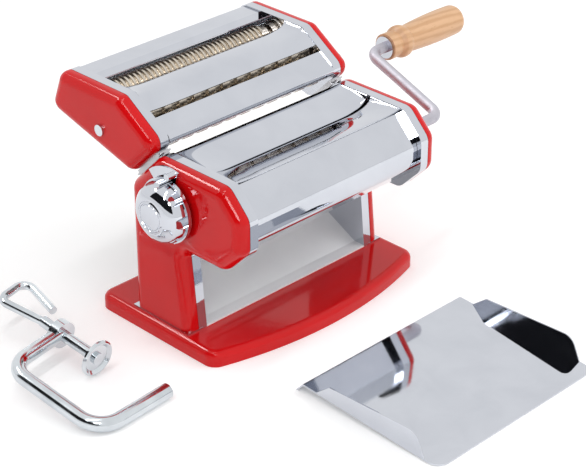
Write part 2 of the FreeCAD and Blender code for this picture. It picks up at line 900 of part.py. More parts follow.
def make_rollers():
    half = dim.roller_length / 2
    socket_end = casing_out + dim.socket_proud
    front = turned("front_roller", [
        (-front_left_end, 0), (-front_left_end, dim.drive_radius), (-half, dim.drive_radius),
        (-half, dim.roller_radius), (half, dim.roller_radius), (half, dim.drive_radius),
        (socket_end, dim.drive_radius), (socket_end, 0)])
    drill_socket(front, socket_end, dim.socket_depth, dim.crank_tilt)
    put(front, 0, dim.front_roller_y, dim.roller_height)
    keep(front)
    rear = turned("rear_roller", [
        (-block_out, 0), (-block_out, dim.journal_radius), (-half, dim.journal_radius),
        (-half, dim.roller_radius), (half, dim.roller_radius), (half, dim.journal_radius),
        (gear_in + dim.gear_width, dim.journal_radius), (gear_in + dim.gear_width, 0)])
    put(rear, 0, rear_roller_y, dim.roller_height)
    keep(rear)
    half_pitch = 180 / dim.gear_teeth.value
    for label, y, bore, angle in (("front_gear", dim.front_roller_y, dim.drive_radius, 0),
                                  ("rear_gear", rear_roller_y, dim.journal_radius, half_pitch)):
        make_gear(label, dim.gear_module, dim.gear_teeth, dim.tooth_tip, dim.tooth_foot, bore,
                  dim.gear_width, gear_in, y, dim.roller_height, angle)


def make_bushes():
    bushes = []
    for name, side in SIDES.items():
        start = half_gap if side > 0 else -half_gap - dim.bush_length
        outer = cylinder(f"{name}_bush_body", front_bush_out, dim.bush_length, start,
                         dim.front_roller_y, dim.roller_height)
        bore = cylinder(f"{name}_bush_bore", dim.drive_radius + dim.running_gap, dim.bush_length, start,
                        dim.front_roller_y, dim.roller_height)
        bushes.append(cut(f"{name}_bush", outer, bore))
    group("front_bushes", bushes)


front_left_end = half_gap + dim.bush_length
block_in = web_out + dim.scraper_gap
block_out = block_in + dim.block_depth
gear_in = block_out + dim.scraper_gap


def make_carriage():
    """The bearing blocks of the rear roller, the bar that joins them and the rear scraper."""
    blocks = []
    strips = []
    width = dim.block_width
    low = dim.roller_height - dim.block_below
    for name, side in SIDES.items():
        start = block_in if side > 0 else -block_out
        solid = block(f"{name}_block_body", dim.block_depth, width, dim.block_above + dim.block_below,
                      start, rear_roller_y - width / 2, low)
        bore = cylinder(f"{name}_block_bore", dim.journal_radius + dim.running_gap, dim.block_depth, start,
                        rear_roller_y, dim.roller_height)
        bored = cut(f"{name}_bearing_block", solid, bore)
        if side < 0:
            lug = block("cam_lug", dim.block_depth + dim.cam_width, dim.follower_depth, dim.follower_height,
                        -block_out - dim.cam_width, follower_face - dim.follower_depth,
                        dim.roller_height - dim.follower_height / 2)
            bored = fuse("left_block_with_lug", bored, lug)
        blocks.append(bored)
        for level, z in (("upper", dim.roller_height + dim.block_above + dim.running_gap),
                         ("lower", low - dim.running_gap - dim.guide_height)):
            inward = web_out if side > 0 else -block_out
            strips.append(block(f"{name}_{level}_guide", block_out - web_out, width * 1.5, dim.guide_height,
                                inward, rear_roller_y - width, z))
    group("bearing_blocks", blocks)
    group("block_guides", strips)
    keep(block("carriage_bar", block_in * 2, dim.bar_depth, dim.bar_height, -block_in, bar_front, bar_low))


follower_face = rear_roller_y - dim.cam_least - dim.scraper_gap


def make_scrapers():
    """Blades that lift the sheet off the undersides of the rollers."""
    reach = (dim.roller_radius + dim.scraper_gap) * HALF_ROOT
    wall = dim.scraper_wall * 2 * HALF_ROOT
    edge_z = dim.roller_height - reach
    front_y = dim.front_roller_y + reach
    drop = dim.roller_radius
    front = [(front_y, edge_z), (front_y - drop, edge_z - drop), (front_y - drop, edge_z - drop - wall),
             (front_y, edge_z - wall)]
    keep(prism("front_scraper", "YZ_Plane", front, -cover_end, cover_end * 2))
    rear_y = rear_roller_y - reach
    run = bar_front - rear_y
    rear = [(rear_y, edge_z), (bar_front, edge_z - run), (bar_front, edge_z - run - wall),
            (rear_y, edge_z - wall)]
    keep(prism("rear_scraper", "YZ_Plane", rear, -dim.roller_length / 2, dim.roller_length))


# Thickness regulator

def make_regulator():
    """The dial's shaft with its spiral cam, its bush in the casing and the screw that holds the spring."""
    cam_in = block_out + dim.scraper_gap
    cam_out = cam_in + dim.cam_width
    square_from = casing_out + dim.dial_gap
    shaft_end = square_from + dim.dial_floor + dim.dial_pull + dim.spring_least
    shaft = turned("regulator_shaft", [
        (-cam_in, 0), (-cam_in, dim.regulator_radius),
        (-square_from, dim.regulator_radius), (-square_from, 0)])
    half = dim.regulator_square / 2
    add_prism(shaft, "YZ_Plane", [(-half, -half), (half, -half), (half, half), (-half, half)],
              -square_from, shaft_end - square_from, reverse=True)
    put(shaft, 0, rear_roller_y, dim.roller_height)
    keep(shaft)

    cam = doc.addObject("Part::Feature", "regulator_cam")
    cam.Shape = spiral_disc(cam_out)
    cam.Placement = FreeCAD.Placement(
        FreeCAD.Vector(-cam_out.value, rear_roller_y.value, dim.roller_height.value), FreeCAD.Rotation())
    keep(cam)

    bush_length = casing_out - casing_back + dim.dial_gap * 0.5 + dim.bush_wall
    bush_start = casing_back - dim.bush_wall
    outer = cylinder("regulator_bush_body", regulator_bush_out, bush_length, -bush_start - bush_length,
                     rear_roller_y, dim.roller_height)
    bore = cylinder("regulator_bush_bore", dim.regulator_radius + dim.running_gap, bush_length,
                    -bush_start - bush_length, rear_roller_y, dim.roller_height)
    keep(cut("regulator_bush", outer, bore))

    keep(cylinder("regulator_screw", dim.dial_bore - dim.spring_wire, dim.screw_head_height,
                  -shaft_end - dim.screw_head_height, rear_roller_y, dim.roller_height))
    return square_from, shaft_end


def spiral_disc(cam_out):
    """A disc whose radius grows evenly with the angle, so that the gap follows the dial in step."""
    sweep = math.radians(dim.cam_sweep.value)
    least = dim.cam_least.value
    rise = gap_travel.value
    spiral_steps = 24
    return_steps = 4
    points = []
    for step in range(spiral_steps + 1):
        share = step / spiral_steps
        points.append((sweep * share, least + rise * share))
    for step in range(1, return_steps):
        share = step / return_steps
        points.append((sweep + (2 * math.pi - sweep) * share, least + rise * (1 - share)))
    places = []
    for angle, radius in points:
        around = math.pi + angle
        places.append(FreeCAD.Vector(0, radius * math.cos(around), radius * math.sin(around)))
    rim = Part.BSplineCurve()
    rim.interpolate(places, PeriodicFlag=True)
    face = Part.Face(Part.Wire([rim.toShape()]))
    disc = face.extrude(FreeCAD.Vector(dim.cam_width.value, 0, 0))
    hole = Part.makeCylinder(dim.regulator_radius.value, dim.cam_width.value, FreeCAD.Vector(),
                             FreeCAD.Vector(1, 0, 0))
    return disc.cut(hole)


def make_dial(square_from, shaft_end):
    """The domed knob with finger flutes round its rim, its blank face plate and its return spring."""
    back = square_from
    front = back + dim.dial_depth
    rim_front = back + dim.dial_rim
    shoulder_r = dim.dial_radius - dim.cover_wall
    dome_x = back + dim.dial_depth * 0.75
    dome_r = dim.dial_face + (dim.dial_radius - dim.dial_face) * 0.66
    seat = front - dim.cover_wall
    body = turned("dial_knob", [
        (-back, 0), (-back, dim.dial_radius), (-rim_front, dim.dial_radius), (-rim_front, shoulder_r),
        (-front, dim.dial_face + dim.cover_wall), (-front, 0)], {3: (-dome_x, dome_r)})
    flute = new_sketch(body, "YZ_Plane", -rim_front)
    circle(flute, (dim.dial_radius + dim.flute_radius * 0.28, 0), dim.flute_radius)
    scoop = feature(body, "Pocket", flute, dim.dial_depth * 0.5, reverse=False)
    pattern(body, "PolarPattern", scoop, "X_Axis", dim.dial_flutes)
    face_seat = new_sketch(body, "YZ_Plane", -front)
    circle(face_seat, (0, 0), dim.dial_face)
    feature(body, "Pocket", face_seat, dim.cover_wall, reverse=True)
    chamber = new_sketch(body, "YZ_Plane", -seat)
    circle(chamber, (0, 0), dim.dial_bore)
    feature(body, "Pocket", chamber, dim.dial_depth - dim.cover_wall - dim.dial_floor, reverse=True)
    half = dim.regulator_square / 2 + dim.running_gap
    cut_outline(body, "YZ_Plane", [(-half, -half), (half, -half), (half, half), (-half, half)])
    put(body, 0, rear_roller_y, dim.roller_height)
    keep(body)
    cap = turned("dial_cap", [(-seat, 0), (-seat, dim.dial_face), (-front, dim.dial_face),
                              (-front - dim.cover_wall, dim.dial_face - dim.cover_wall),
                              (-front - dim.cover_wall, 0)])
    put(cap, 0, rear_roller_y, dim.roller_height)
    keep(cap)
    spring_from = back + dim.dial_floor + dim.scraper_gap
    length = shaft_end - spring_from - dim.scraper_gap
    outer = dim.dial_bore - dim.scraper_gap
    sleeve = cylinder("spring_outside", outer, length, -shaft_end + dim.scraper_gap,
                      rear_roller_y, dim.roller_height)
    inside = cylinder("spring_inside", outer - dim.spring_wire, length, -shaft_end + dim.scraper_gap,
                      rear_roller_y, dim.roller_height)
    keep(cut("dial_spring", sleeve, inside))


def make_index():
    """The index plate under the dial, with a small stop post beside the rim."""
    body = new_body("index_plate")
    low = dim.index_inside
    high = dim.index_outside
    start = dim.index_from
    finish = dim.index_to
    middle = (start + finish) / 2

    def around(radius, angle):
        return radius * cosine(angle), radius * sine(angle)

    add_prism(body, "YZ_Plane", [around(low, start), around(high, start), around(high, finish),
                                 around(low, finish)],
              -casing_out, dim.index_wall, True, {1: around(high, middle), 3: around(low, middle)})
    post = around(high - dim.index_post_radius, dim.index_post_angle)
    add_disc(body, "YZ_Plane", post, dim.index_post_radius, -casing_out,
             dim.index_wall + dim.index_post_height, True)
    put(body, 0, rear_roller_y, dim.roller_height)
    return keep(body)


# Crank

def make_crank():
    """A bent rod that plugs into the drive socket, with a turned wooden grip that spins on it."""
    inner_end = casing_out + dim.socket_proud - dim.socket_depth + dim.running_gap
    arm_x = casing_out + dim.crank_out
    grip_start = arm_x + dim.grip_start
    pin_end = grip_start + dim.grip_length * 0.75
    reach = dim.crank_reach
    socket_end = casing_out + dim.socket_proud
    body = new_body("crank_rod")
    add_pipe(body, [(socket_end, 0), (arm_x, 0), (arm_x, reach), (pin_end, reach)], dim.crank_bend,
             dim.crank_radius)
    key = new_sketch(body, "YZ_Plane", inner_end)
    outline(key, hexagon(dim.socket_flats))
    feature(body, "Pad", key, socket_end - inner_end)
    turn(body, (1, 0, 0), dim.crank_tilt.value)
    put(body, 0, dim.front_roller_y, dim.roller_height)
    keep(body)

    grip_y = dim.front_roller_y + reach * cosine(dim.crank_tilt)
    grip_z = dim.roller_height + reach * sine(dim.crank_tilt)
    length = dim.grip_length
    tail = dim.grip_radius * 0.55
    bore = dim.crank_radius + dim.running_gap
    start = grip_start
    finish = start + length
    profile = [
        (start, bore), (start, dim.grip_collar), (start + length * 0.075, dim.grip_collar),
        (start + length * 0.125, dim.grip_neck), (start + length * 0.16, dim.grip_bead),
        (start + length * 0.26, dim.grip_neck * 1.08), (finish - tail, dim.grip_radius),
        (finish, dim.grip_radius - tail), (finish, 0), (pin_end + dim.scraper_gap, 0),
        (pin_end + dim.scraper_gap, bore)]
    bulges = {
        4: (start + length * 0.225, dim.grip_bead),
        5: (start + length * 0.62, dim.grip_radius + dim.scraper_gap * 0.5),
        6: (finish - tail * (1 - HALF_ROOT), dim.grip_radius - tail * (1 - HALF_ROOT)),
    }
    grip = turned("wooden_grip", profile, bulges)
    put(grip, 0, grip_y, grip_z)
    keep(grip)
    ferrule_end = start - dim.scraper_gap
    ferrule_start = ferrule_end - dim.cover_wall
    ferrule = turned("grip_ferrule", [
        (ferrule_start, bore), (ferrule_start, dim.ferrule_radius),
        (ferrule_end, dim.ferrule_radius), (ferrule_end, bore)])
    put(ferrule, 0, grip_y, grip_z)
    keep(ferrule)


# Cutter attachment

root_two = math.sqrt(2)
rail_line = dim.plate_rear + shoulder
cutter_line = rail_line + dim.rail_gap * root_two


def cutter_nose():
    """Where the cutter's front slope meets the face that lies along the rail."""
    fall = sine(dim.cutter_slope)
    run = cosine(dim.cutter_slope)
    down = (dim.cutter_top_front + cutter_top - cutter_line) / (fall + run)
    return dim.cutter_top_front - run * down, cutter_top - fall * down


def cutter_corners():
    return [
        (dim.cutter_top_front, cutter_top),
        (dim.cutter_top_rear, cutter_top),
        (dim.cutter_rear, cutter_rear_low),
        (dim.cutter_heel, cutter_heel_height),
        (cutter_line - cutter_bottom, cutter_bottom),
        cutter_nose(),
    ]


def cutter_places():
    """The four roller centres: drive and driven roller of the fine pair and of the wide pair."""
    wide_y = dim.wide_front_y + dim.cutter_spread * cosine(dim.cutter_slope)
    wide_z = wide_height + dim.cutter_spread * sine(dim.cutter_slope)
    return {
        "fine_drive": (dim.fine_front_y, fine_height),
        "fine_driven": (dim.fine_front_y + dim.cutter_spread, fine_height),
        "wide_drive": (dim.wide_front_y, wide_height),
        "wide_driven": (wide_y, wide_z),
    }


cap_screw_y = dim.fine_front_y - dim.cap_screw_forward
cap_screw_z = {"left": fine_height - dim.left_cap_screw_drop, "right": fine_height - dim.right_cap_screw_drop}
cutter_bush_out = dim.cutter_journal + dim.bush_wall * 0.6


def make_cutter_sides():
    corners = cutter_corners()
    for name, side in SIDES.items():
        plate = prism(f"cutter_{name}_plate", "YZ_Plane", corners, mirrored(side, half_gap), dim.flange_depth,
                      reverse=side < 0)
        round_corners(plate, dim.cutter_corner, corners)
        hollow(plate, dim.plate_wall, flat_at(0, mirrored(side, flange_out)))
        cut_holes(plate, "YZ_Plane", cutter_places().values(), cutter_bush_out)
        keep(plate)
        cap = prism(f"cutter_{name}_cap", "YZ_Plane", corners, mirrored(side, casing_in), dim.casing_depth,
                    reverse=side < 0)
        round_corners(cap, dim.cutter_corner, corners)
        soft_shell(cap, side, dim.cap_edge)
        screw_hole = dim.screw_shank + dim.running_gap
        cut_holes(cap, "YZ_Plane", [(cap_screw_y, cap_screw_z[name])], screw_hole)
        if side > 0:
            drives = [place for label, place in cutter_places().items() if label.endswith("drive")]
            cut_holes(cap, "YZ_Plane", drives, drive_hole)
        keep(cap)


def make_cutter_sheets():
    """The three chrome covers: below the wide slit, between the two mouths, and over the back."""
    inset = dim.cover_wall
    run = cosine(dim.cutter_slope)
    fall = sine(dim.cutter_slope)
    nose_y, nose_z = cutter_nose()
    nose_y = nose_y + inset * 1.6
    nose_z = nose_z + inset * 0.2
    feed_y = (cutter_places()["wide_drive"][0] + cutter_places()["wide_driven"][0]) / 2
    feed_z = (cutter_places()["wide_drive"][1] + cutter_places()["wide_driven"][1]) / 2
    # the slit lies where the feed path of the wide pair leaves through the front slope
    rise = (nose_z + (feed_y - nose_y) * fall / run - feed_z) * run
    slit_y = feed_y - rise * fall
    slit_z = feed_z + rise * run
    half = dim.wide_slit / 2
    low_edge = (slit_y - half * run, slit_z - half * fall)
    under = dim.rail_head * 0.7
    bent_sheet("cutter_front_plate", [
        low_edge, (nose_y, nose_z), (nose_y + under, nose_z - under)], dim.cutter_corner / 2, [1])
    high_edge = (slit_y + half * run, slit_z + half * fall)
    top = cutter_top - inset
    crest_y = slit_y + (top - slit_z) * run / fall
    fine_mid = dim.fine_front_y + dim.cutter_spread / 2
    mouth_front = fine_mid - dim.fine_opening / 2
    mouth_rear = fine_mid + dim.fine_opening / 2
    drop = inset * 3
    bent_sheet("cutter_mid_plate", [
        high_edge, (crest_y, top), (mouth_front - drop, top), (mouth_front, top - drop)],
        dim.cutter_corner / 2, [1])
    lean = (dim.cutter_rear - dim.cutter_top_rear) / (cutter_top - cutter_rear_low)
    heel_z = cutter_rear_low + inset
    bent_sheet("cutter_rear_plate", [
        (mouth_rear, top - drop), (mouth_rear + drop, top), (dim.cutter_top_rear - inset, top),
        (dim.cutter_top_rear - inset + (top - heel_z) * lean, heel_z)], dim.cutter_corner / 2, [2])


def make_cutter_rollers():
    """Two pairs of interleaved disc rollers, each pair geared together at its right end."""
    half = dim.roller_length / 2
    gear_start = half_gap + dim.bush_length + dim.scraper_gap
    half_pitch = 180 / dim.cutter_teeth.value
    disc_run = half * dim.disc_share
    pairs = {"fine": (dim.fine_discs, 0.0), "wide": (dim.wide_discs, dim.cutter_slope.value)}
    for pair, (discs, tilt) in pairs.items():
        strip = disc_run / discs
        for role in ("drive", "driven"):
            y, z = cutter_places()[f"{pair}_{role}"]
            left_end = half_gap + dim.bush_length
            profile = [(-left_end, 0), (-left_end, dim.cutter_journal), (-half, dim.cutter_journal),
                       (-half, dim.disc_core), (half, dim.disc_core), (half, dim.cutter_journal)]
            gear_end = gear_start + dim.gear_width
            if role == "drive":
                socket_end = casing_out + dim.socket_proud / 2
                profile += [(gear_end, dim.cutter_journal), (gear_end, dim.drive_radius),
                            (socket_end, dim.drive_radius), (socket_end, 0)]
            else:
                profile += [(gear_end, dim.cutter_journal), (gear_end, 0)]
            body = turned(f"{pair}_{role}_roller", profile)
            count = discs if role == "drive" else discs - 1
            width = strip - dim.disc_play
            first = (count - 1) * strip
            disc = add_disc(body, "YZ_Plane", (0, 0), dim.disc_radius, -first - width / 2, width)
            pattern(body, "LinearPattern", disc, "X_Axis", count, first * 2)
            if role == "drive":
                drill_socket(body, socket_end, socket_end - gear_end)
            put(body, 0, y, z)
            keep(body)
            angle = tilt if role == "drive" else tilt + half_pitch
            make_gear(f"{pair}_{role}_gear", dim.cutter_module, dim.cutter_teeth, dim.cutter_tooth_tip,
                      dim.cutter_tooth_foot, dim.cutter_journal, dim.gear_width, gear_start, y, z, angle)


def make_cutter_hardware():
    bushes = []
    for name, side in SIDES.items():
        start = half_gap if side > 0 else -half_gap - dim.bush_length
        for label, (y, z) in cutter_places().items():
            outer = cylinder(f"{name}_{label}_bush_body", cutter_bush_out, dim.bush_length, start, y, z)
            bore = cylinder(f"{name}_{label}_bush_bore", dim.cutter_journal + dim.running_gap,
                            dim.bush_length, start, y, z)
            bushes.append(cut(f"{name}_{label}_bush", outer, bore))
    group("cutter_bushes", bushes)
    tie_places = [(dim.cutter_top_rear - dim.tie_radius * 1.5, cutter_rear_low + dim.tie_radius * 2),
                  (dim.wide_front_y + dim.cutter_spread * 1.1, wide_height - dim.cutter_spread * 0.85)]
    rods = [cylinder(f"cutter_tie_{number}", dim.tie_radius, half_gap * 2, -half_gap, y, z)
            for number, (y, z) in enumerate(tie_places)]
    group("cutter_tie_rods", rods)
    screws = []
    shank_length = casing_out - web_out
    for name, side in SIDES.items():
        y = cap_screw_y
        z = cap_screw_z[name]
        shank_start = web_out if side > 0 else -casing_out
        head_start = casing_out if side > 0 else -casing_out - dim.screw_head_height
        shank = cylinder(f"{name}_screw_shank", dim.screw_shank, shank_length, shank_start, y, z)
        head = cylinder(f"{name}_screw_head", dim.screw_head, dim.screw_head_height, head_start, y, z)
        screws.append(fuse(f"{name}_cap_screw", shank, head))
    group("cutter_cap_screws", screws)


def make_rails():
    """T-shaped rails on the machine's slanted edges and the channels of the cutter that slide on them."""
    length = (head_top - shoulder) * root_two
    play = dim.scraper_gap
    stem = dim.rail_stem / 2
    head = dim.rail_head / 2
    low = dim.rail_stem_height
    high = low + dim.rail_head_height
    wall = dim.runner_wall
    middle = half_gap + dim.flange_depth / 2
    rails = []
    runners = []
    for name, side in SIDES.items():
        x = mirrored(side, middle)
        rail = prism(f"{name}_rail", "XY_Plane", [
            (x - stem, 0), (x + stem, 0), (x + stem, low), (x + head, low),
            (x + head, high), (x - head, high), (x - head, low), (x - stem, low)], 0, length)
        rails.append(rail)
        inner = head + play
        outer = inner + wall
        lip = stem + play
        under = low - play
        over = high + play
        runner = prism(f"{name}_runner", "XY_Plane", [
            (x - outer, play), (x - lip, play), (x - lip, under), (x - inner, under), (x - inner, over),
            (x + inner, over), (x + inner, under), (x + lip, under), (x + lip, play), (x + outer, play),
            (x + outer, dim.rail_gap), (x - outer, dim.rail_gap)], length * 0.12, length * 0.76)
        runners.append(runner)
        for piece in (rail, runner):
            turn(piece, (1, 0, 0), 45)
            put(piece, 0, dim.plate_rear, shoulder)
    group("cutter_rails", rails)
    group("cutter_runners", runners)


# Clamp socket, table clamp and tray

def make_clamp_socket():
    """A bored block behind the legs that takes the plain arm of the table clamp."""
    half = dim.socket_width / 2
    low = dim.base_height
    high = low + dim.socket_axis * 2
    rear = dim.base_rear - dim.socket_setback
    body = prism("clamp_socket", "XZ_Plane", [(-half, low), (half, low), (half, high), (-half, high)],
                 -rear, dim.socket_length)
    cut_holes(body, "XZ_Plane", [(0, low + dim.socket_axis)], dim.clamp_rod + dim.socket_play)
    return keep(body)


def clamp_placement():
    """The clamp lies on its plain arm and on the rim of its pad, so its plane tips up a little."""
    lift = dim.clamp_pad_radius.value - dim.clamp_rod.value
    tip = math.degrees(math.asin(lift / dim.clamp_pad_place.value))
    base = FreeCAD.Vector(dim.clamp_x.value, dim.clamp_y.value, dim.clamp_rod.value)
    spin = FreeCAD.Rotation(FreeCAD.Vector(0, 0, 1), dim.clamp_spin.value)
    return FreeCAD.Placement(base, spin * FreeCAD.Rotation(FreeCAD.Vector(1, 0, 0), tip))


def on_clamp_screw(piece):
    """Sets a piece that was made along X on the clamp's screw line, with X along the screw."""
    across = FreeCAD.Vector(dim.clamp_screw_place.value, 0, 0)
    quarter = FreeCAD.Rotation(FreeCAD.Vector(0, 0, 1), 90)
    piece.Placement = clamp_placement() * FreeCAD.Placement(across, quarter)
    return keep(piece)


def make_clamp():
    """A bent rod with a bored eye, and a screw with a wire handle and a dished pad."""
    back = dim.clamp_back
    eye_v = back + dim.clamp_eye_rise
    screw_u = dim.clamp_screw_place
    body = new_body("clamp_frame")
    add_pipe(body, [(dim.clamp_arm, 0), (0, 0), (0, back), (screw_u, eye_v)], dim.clamp_bend, dim.clamp_rod)
    height = dim.clamp_eye_height
    add_disc(body, "XZ_Plane", (screw_u, 0), dim.clamp_eye, -eye_v - height / 2, height)
    bore = new_sketch(body, "XZ_Plane", -eye_v - dim.clamp_eye)
    circle(bore, (screw_u, 0), dim.clamp_screw_radius + dim.running_gap)
    feature(body, "Pocket", bore, dim.clamp_eye * 2, reverse=True)
    body.Placement = clamp_placement()
    keep(body)

    face = dim.clamp_pad_place - dim.clamp_pad_depth / 2
    floor = face + dim.clamp_pad_recess
    hub_end = face + dim.clamp_pad_depth + dim.clamp_pad_recess
    bore_r = dim.clamp_tip_radius + dim.running_gap
    dish = dim.clamp_pad_radius * 0.72
    on_clamp_screw(turned("clamp_pad", [
        (floor, bore_r), (floor, dish), (face, dish + dim.clamp_pad_recess),
        (face, dim.clamp_pad_radius - dim.clamp_pad_edge), (face + dim.clamp_pad_edge, dim.clamp_pad_radius),
        (face + dim.clamp_pad_depth / 2, dim.clamp_pad_radius),
        (face + dim.clamp_pad_depth, dim.clamp_pad_hub), (hub_end, dim.clamp_pad_hub), (hub_end, bore_r)]))

    play = dim.running_gap
    screw = turned("clamp_screw", [
        (face, 0), (face, dim.clamp_rivet_radius), (floor - play, dim.clamp_rivet_radius),
        (floor - play, dim.clamp_tip_radius), (hub_end + play, dim.clamp_tip_radius),
        (hub_end + play, dim.clamp_screw_radius), (dim.clamp_screw_top, dim.clamp_screw_radius),
        (dim.clamp_screw_top, 0)])
    foot = dim.clamp_screw_top - dim.clamp_handle_bend / 2
    far = dim.clamp_screw_top + dim.clamp_handle_rise
    lean = dim.clamp_handle_lean
    span = dim.clamp_handle_span
    add_pipe(screw, [
        (foot - dim.clamp_handle_bend, 0), (foot, 0), (far, lean), (far + lean * 0.7, lean - span),
        (far + lean * 0.7 - dim.clamp_handle_return, lean * 1.3 - span + lean)],
        dim.clamp_handle_bend, dim.clamp_handle_wire)
    on_clamp_screw(screw)


def make_tray():
    """A sloping floor with a turned-down rear lip to stand on and two side walls with round front corners."""
    wall = dim.tray_wall
    left = dim.tray_centre_x - dim.tray_length / 2
    right = left + dim.tray_length
    rear = dim.tray_rear_y
    front = rear - dim.tray_depth
    lip = rear + dim.tray_lip
    body = prism("tray", "YZ_Plane", [
        (front, 0), (front, wall), (rear, dim.tray_rise), (lip, 0), (lip - wall * 1.4, 0),
        (rear - wall * 0.3, dim.tray_rise - wall)], left, dim.tray_length)

    def floor(y):
        return (y - front) * (dim.tray_rise - wall) / dim.tray_depth

    side_front = front + dim.tray_side_front
    side_rear = rear - dim.tray_side_rear
    crest = (side_front + dim.tray_side_lean, dim.tray_side_high)
    side = [(side_front, floor(side_front)), crest, (side_rear - dim.tray_side_slant, dim.tray_side_low),
            (side_rear, floor(side_rear))]
    for start, inward in ((left, False), (right, True)):
        add_prism(body, "YZ_Plane", side, start, wall, reverse=inward)
    round_corners(body, dim.tray_corner, [crest])
    round_corners(body, dim.tray_floor_corner, [(left, front), (right, front)], 0, 1)
    return keep(body)


def check_and_write():
    """Looks for failed objects and bad shapes, then writes one file for each piece."""
    doc.recompute()
    for thing in doc.Objects:
        if "Invalid" in thing.State or "Error" in thing.State:
            raise ValueError(f"{thing.Label} failed: {thing.State}")
    os.makedirs("parts", exist_ok=True)
    for node in nodes:
        shape = node.Shape
        if shape.isNull() or not shape.isValid() or not shape.Solids:
            raise ValueError(f"{node.Label} has no good shape")
        shape.exportStep(os.path.join("parts", f"{node.Label}.step"))
    print(len(nodes), "pieces written")


make_base()
for name, side in SIDES.items():
    make_side_plate(name, side)
    make_casing(name, side)
make_frame_hardware()
make_sheets()
make_rollers()
make_bushes()
make_carriage()
make_scrapers()
square_from, shaft_end = make_regulator()
make_dial(square_from, shaft_end)
make_index()
make_crank()
make_cutter_sides()
make_cutter_sheets()
make_cutter_rollers()
make_cutter_hardware()
make_rails()
make_clamp_socket()
make_clamp()
make_tray()
check_and_write()
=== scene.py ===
"""Looks for a hand-cranked pasta roller: materials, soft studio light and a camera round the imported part."""
import json
import math

import bpy
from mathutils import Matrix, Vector


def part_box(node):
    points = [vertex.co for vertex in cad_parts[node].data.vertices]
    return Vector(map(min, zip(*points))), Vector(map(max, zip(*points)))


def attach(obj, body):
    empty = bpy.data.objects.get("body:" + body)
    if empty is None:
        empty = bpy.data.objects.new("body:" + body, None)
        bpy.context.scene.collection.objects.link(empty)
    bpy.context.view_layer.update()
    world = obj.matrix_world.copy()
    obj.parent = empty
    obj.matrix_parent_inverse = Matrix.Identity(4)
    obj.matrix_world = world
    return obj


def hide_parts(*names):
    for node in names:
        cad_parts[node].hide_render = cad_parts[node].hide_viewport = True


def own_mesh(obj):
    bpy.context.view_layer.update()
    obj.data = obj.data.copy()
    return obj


SMOOTH_ANGLE = math.radians(32)

# The camera, solved from the straight edges in the photograph.
CAMERA_PLACE = Vector((-0.78457, -0.81448, 0.67499))
CAMERA_AZIMUTH = math.radians(-44.86)
CAMERA_ELEVATION = math.radians(29.25)
CAMERA_LENS = 114.19
CAMERA_SENSOR = 36.0

# Colours, as linear red, green and blue.
RED = (0.62, 0.004, 0.006)
RED_DARK = (0.54, 0.003, 0.004)
PRIMER = (0.16, 0.05, 0.045)
CHROME = (0.61, 0.63, 0.68)
CHROME_DULL = (0.54, 0.56, 0.61)
# The chute's pale satin tones are painted reflection: a near-white colour that stands in for the white floor
# mirrored in a chrome panel lying in shade.
SATIN_PAINTED_REFLECTION = (0.93, 0.94, 0.96)
SATIN_DULL_PAINTED_REFLECTION = (0.86, 0.87, 0.90)
NICKEL = (0.66, 0.60, 0.52)
NICKEL_DARK = (0.42, 0.37, 0.31)
STEEL = (0.60, 0.60, 0.62)
STEEL_DARK = (0.36, 0.36, 0.38)
ZINC = (0.70, 0.74, 0.77)
ZINC_DARK = (0.40, 0.43, 0.47)
ROD = (0.58, 0.57, 0.62)
ROD_DARK = (0.46, 0.45, 0.50)
BRONZE = (0.45, 0.27, 0.11)
BRONZE_DARK = (0.24, 0.13, 0.05)
BEECH = (0.67, 0.41, 0.235)
BEECH_DARK = (0.50, 0.265, 0.12)
WHITE = (1.0, 1.0, 1.0)
FLOOR = (0.95, 0.95, 0.95)
FLAG = (0.015, 0.015, 0.017)

# How far a material turns to its other colour where it is rubbed, clouded, worn or grained.
RUBBED_SHARE = 0.5
CLOUDED_SHARE = 0.7
WORN_SHARE = 0.35
GRAINED_SHARE = 0.55

# The studio: the floor in metres, its darker grain and its glow, and the world's light on surfaces.
FLOOR_REACH = 4.0
FLOOR_DROP = 0.0002
FLOOR_GRAIN = 0.985
FLOOR_GLOW = 0.16
WORLD_LIGHT = 0.78

# The dark flag on the left, in metres: its place, and its reach along the machine's depth and height.
FLAG_X = -1.3
FLAG_Y = (-1.5, 1.15)
FLAG_Z = (0.35, 1.7)

# The colour sockets of a Mix node, by number, because its other sockets share their names.
MIX_FIRST = 6
MIX_SECOND = 7
MIX_RESULT = 2

# The directions in which a metal is brushed, as a stretch of its noise.
ALONG_X = (0.03, 1, 1)
AROUND_X = (1, 0.05, 0.05)
ALONG_Y = (1, 0.1, 1)
ACROSS_Z = (0.1, 0.1, 1)

# Pieces whose finish differs from the rest of their material slot.
OTHER_LOOKS = {
    # The chute panel's pale satin look is painted reflection of the floor.
    "chute_panel": "satin_panel_painted_reflection",
    "fine_drive_roller": "nickel_discs",
    "fine_driven_roller": "nickel_discs",
    "wide_drive_roller": "nickel_discs",
    "wide_driven_roller": "nickel_discs",
}


# Node helpers

def add(tree, kind, inputs=None, **settings):
    """Adds a node; inputs maps a socket's name or number to a value or to the socket that feeds it."""
    made = tree.nodes.new(kind)
    for name, value in settings.items():
        setattr(made, name, value)
    for name, value in (inputs or {}).items():
        if isinstance(value, bpy.types.NodeSocket):
            tree.links.new(value, made.inputs[name])
        else:
            made.inputs[name].default_value = value
    return made


def rgba(colour):
    return (*colour, 1.0)


def object_places(tree, stretch=(1, 1, 1)):
    """Places on the piece in metres, stretched along the piece's own axes."""
    places = add(tree, "ShaderNodeTexCoord").outputs["Object"]
    return add(tree, "ShaderNodeMapping", {"Vector": places, "Scale": stretch}).outputs["Vector"]


def noise(tree, size, detail=3.0, stretch=(1, 1, 1), distortion=0.0):
    """Cloudy noise from 0 to 1 whose patches are about the given size in metres."""
    values = {
        "Vector": object_places(tree, stretch),
        "Scale": 1 / size,
        "Detail": detail,
        "Distortion": distortion,
    }
    return add(tree, "ShaderNodeTexNoise", values).outputs["Fac"]


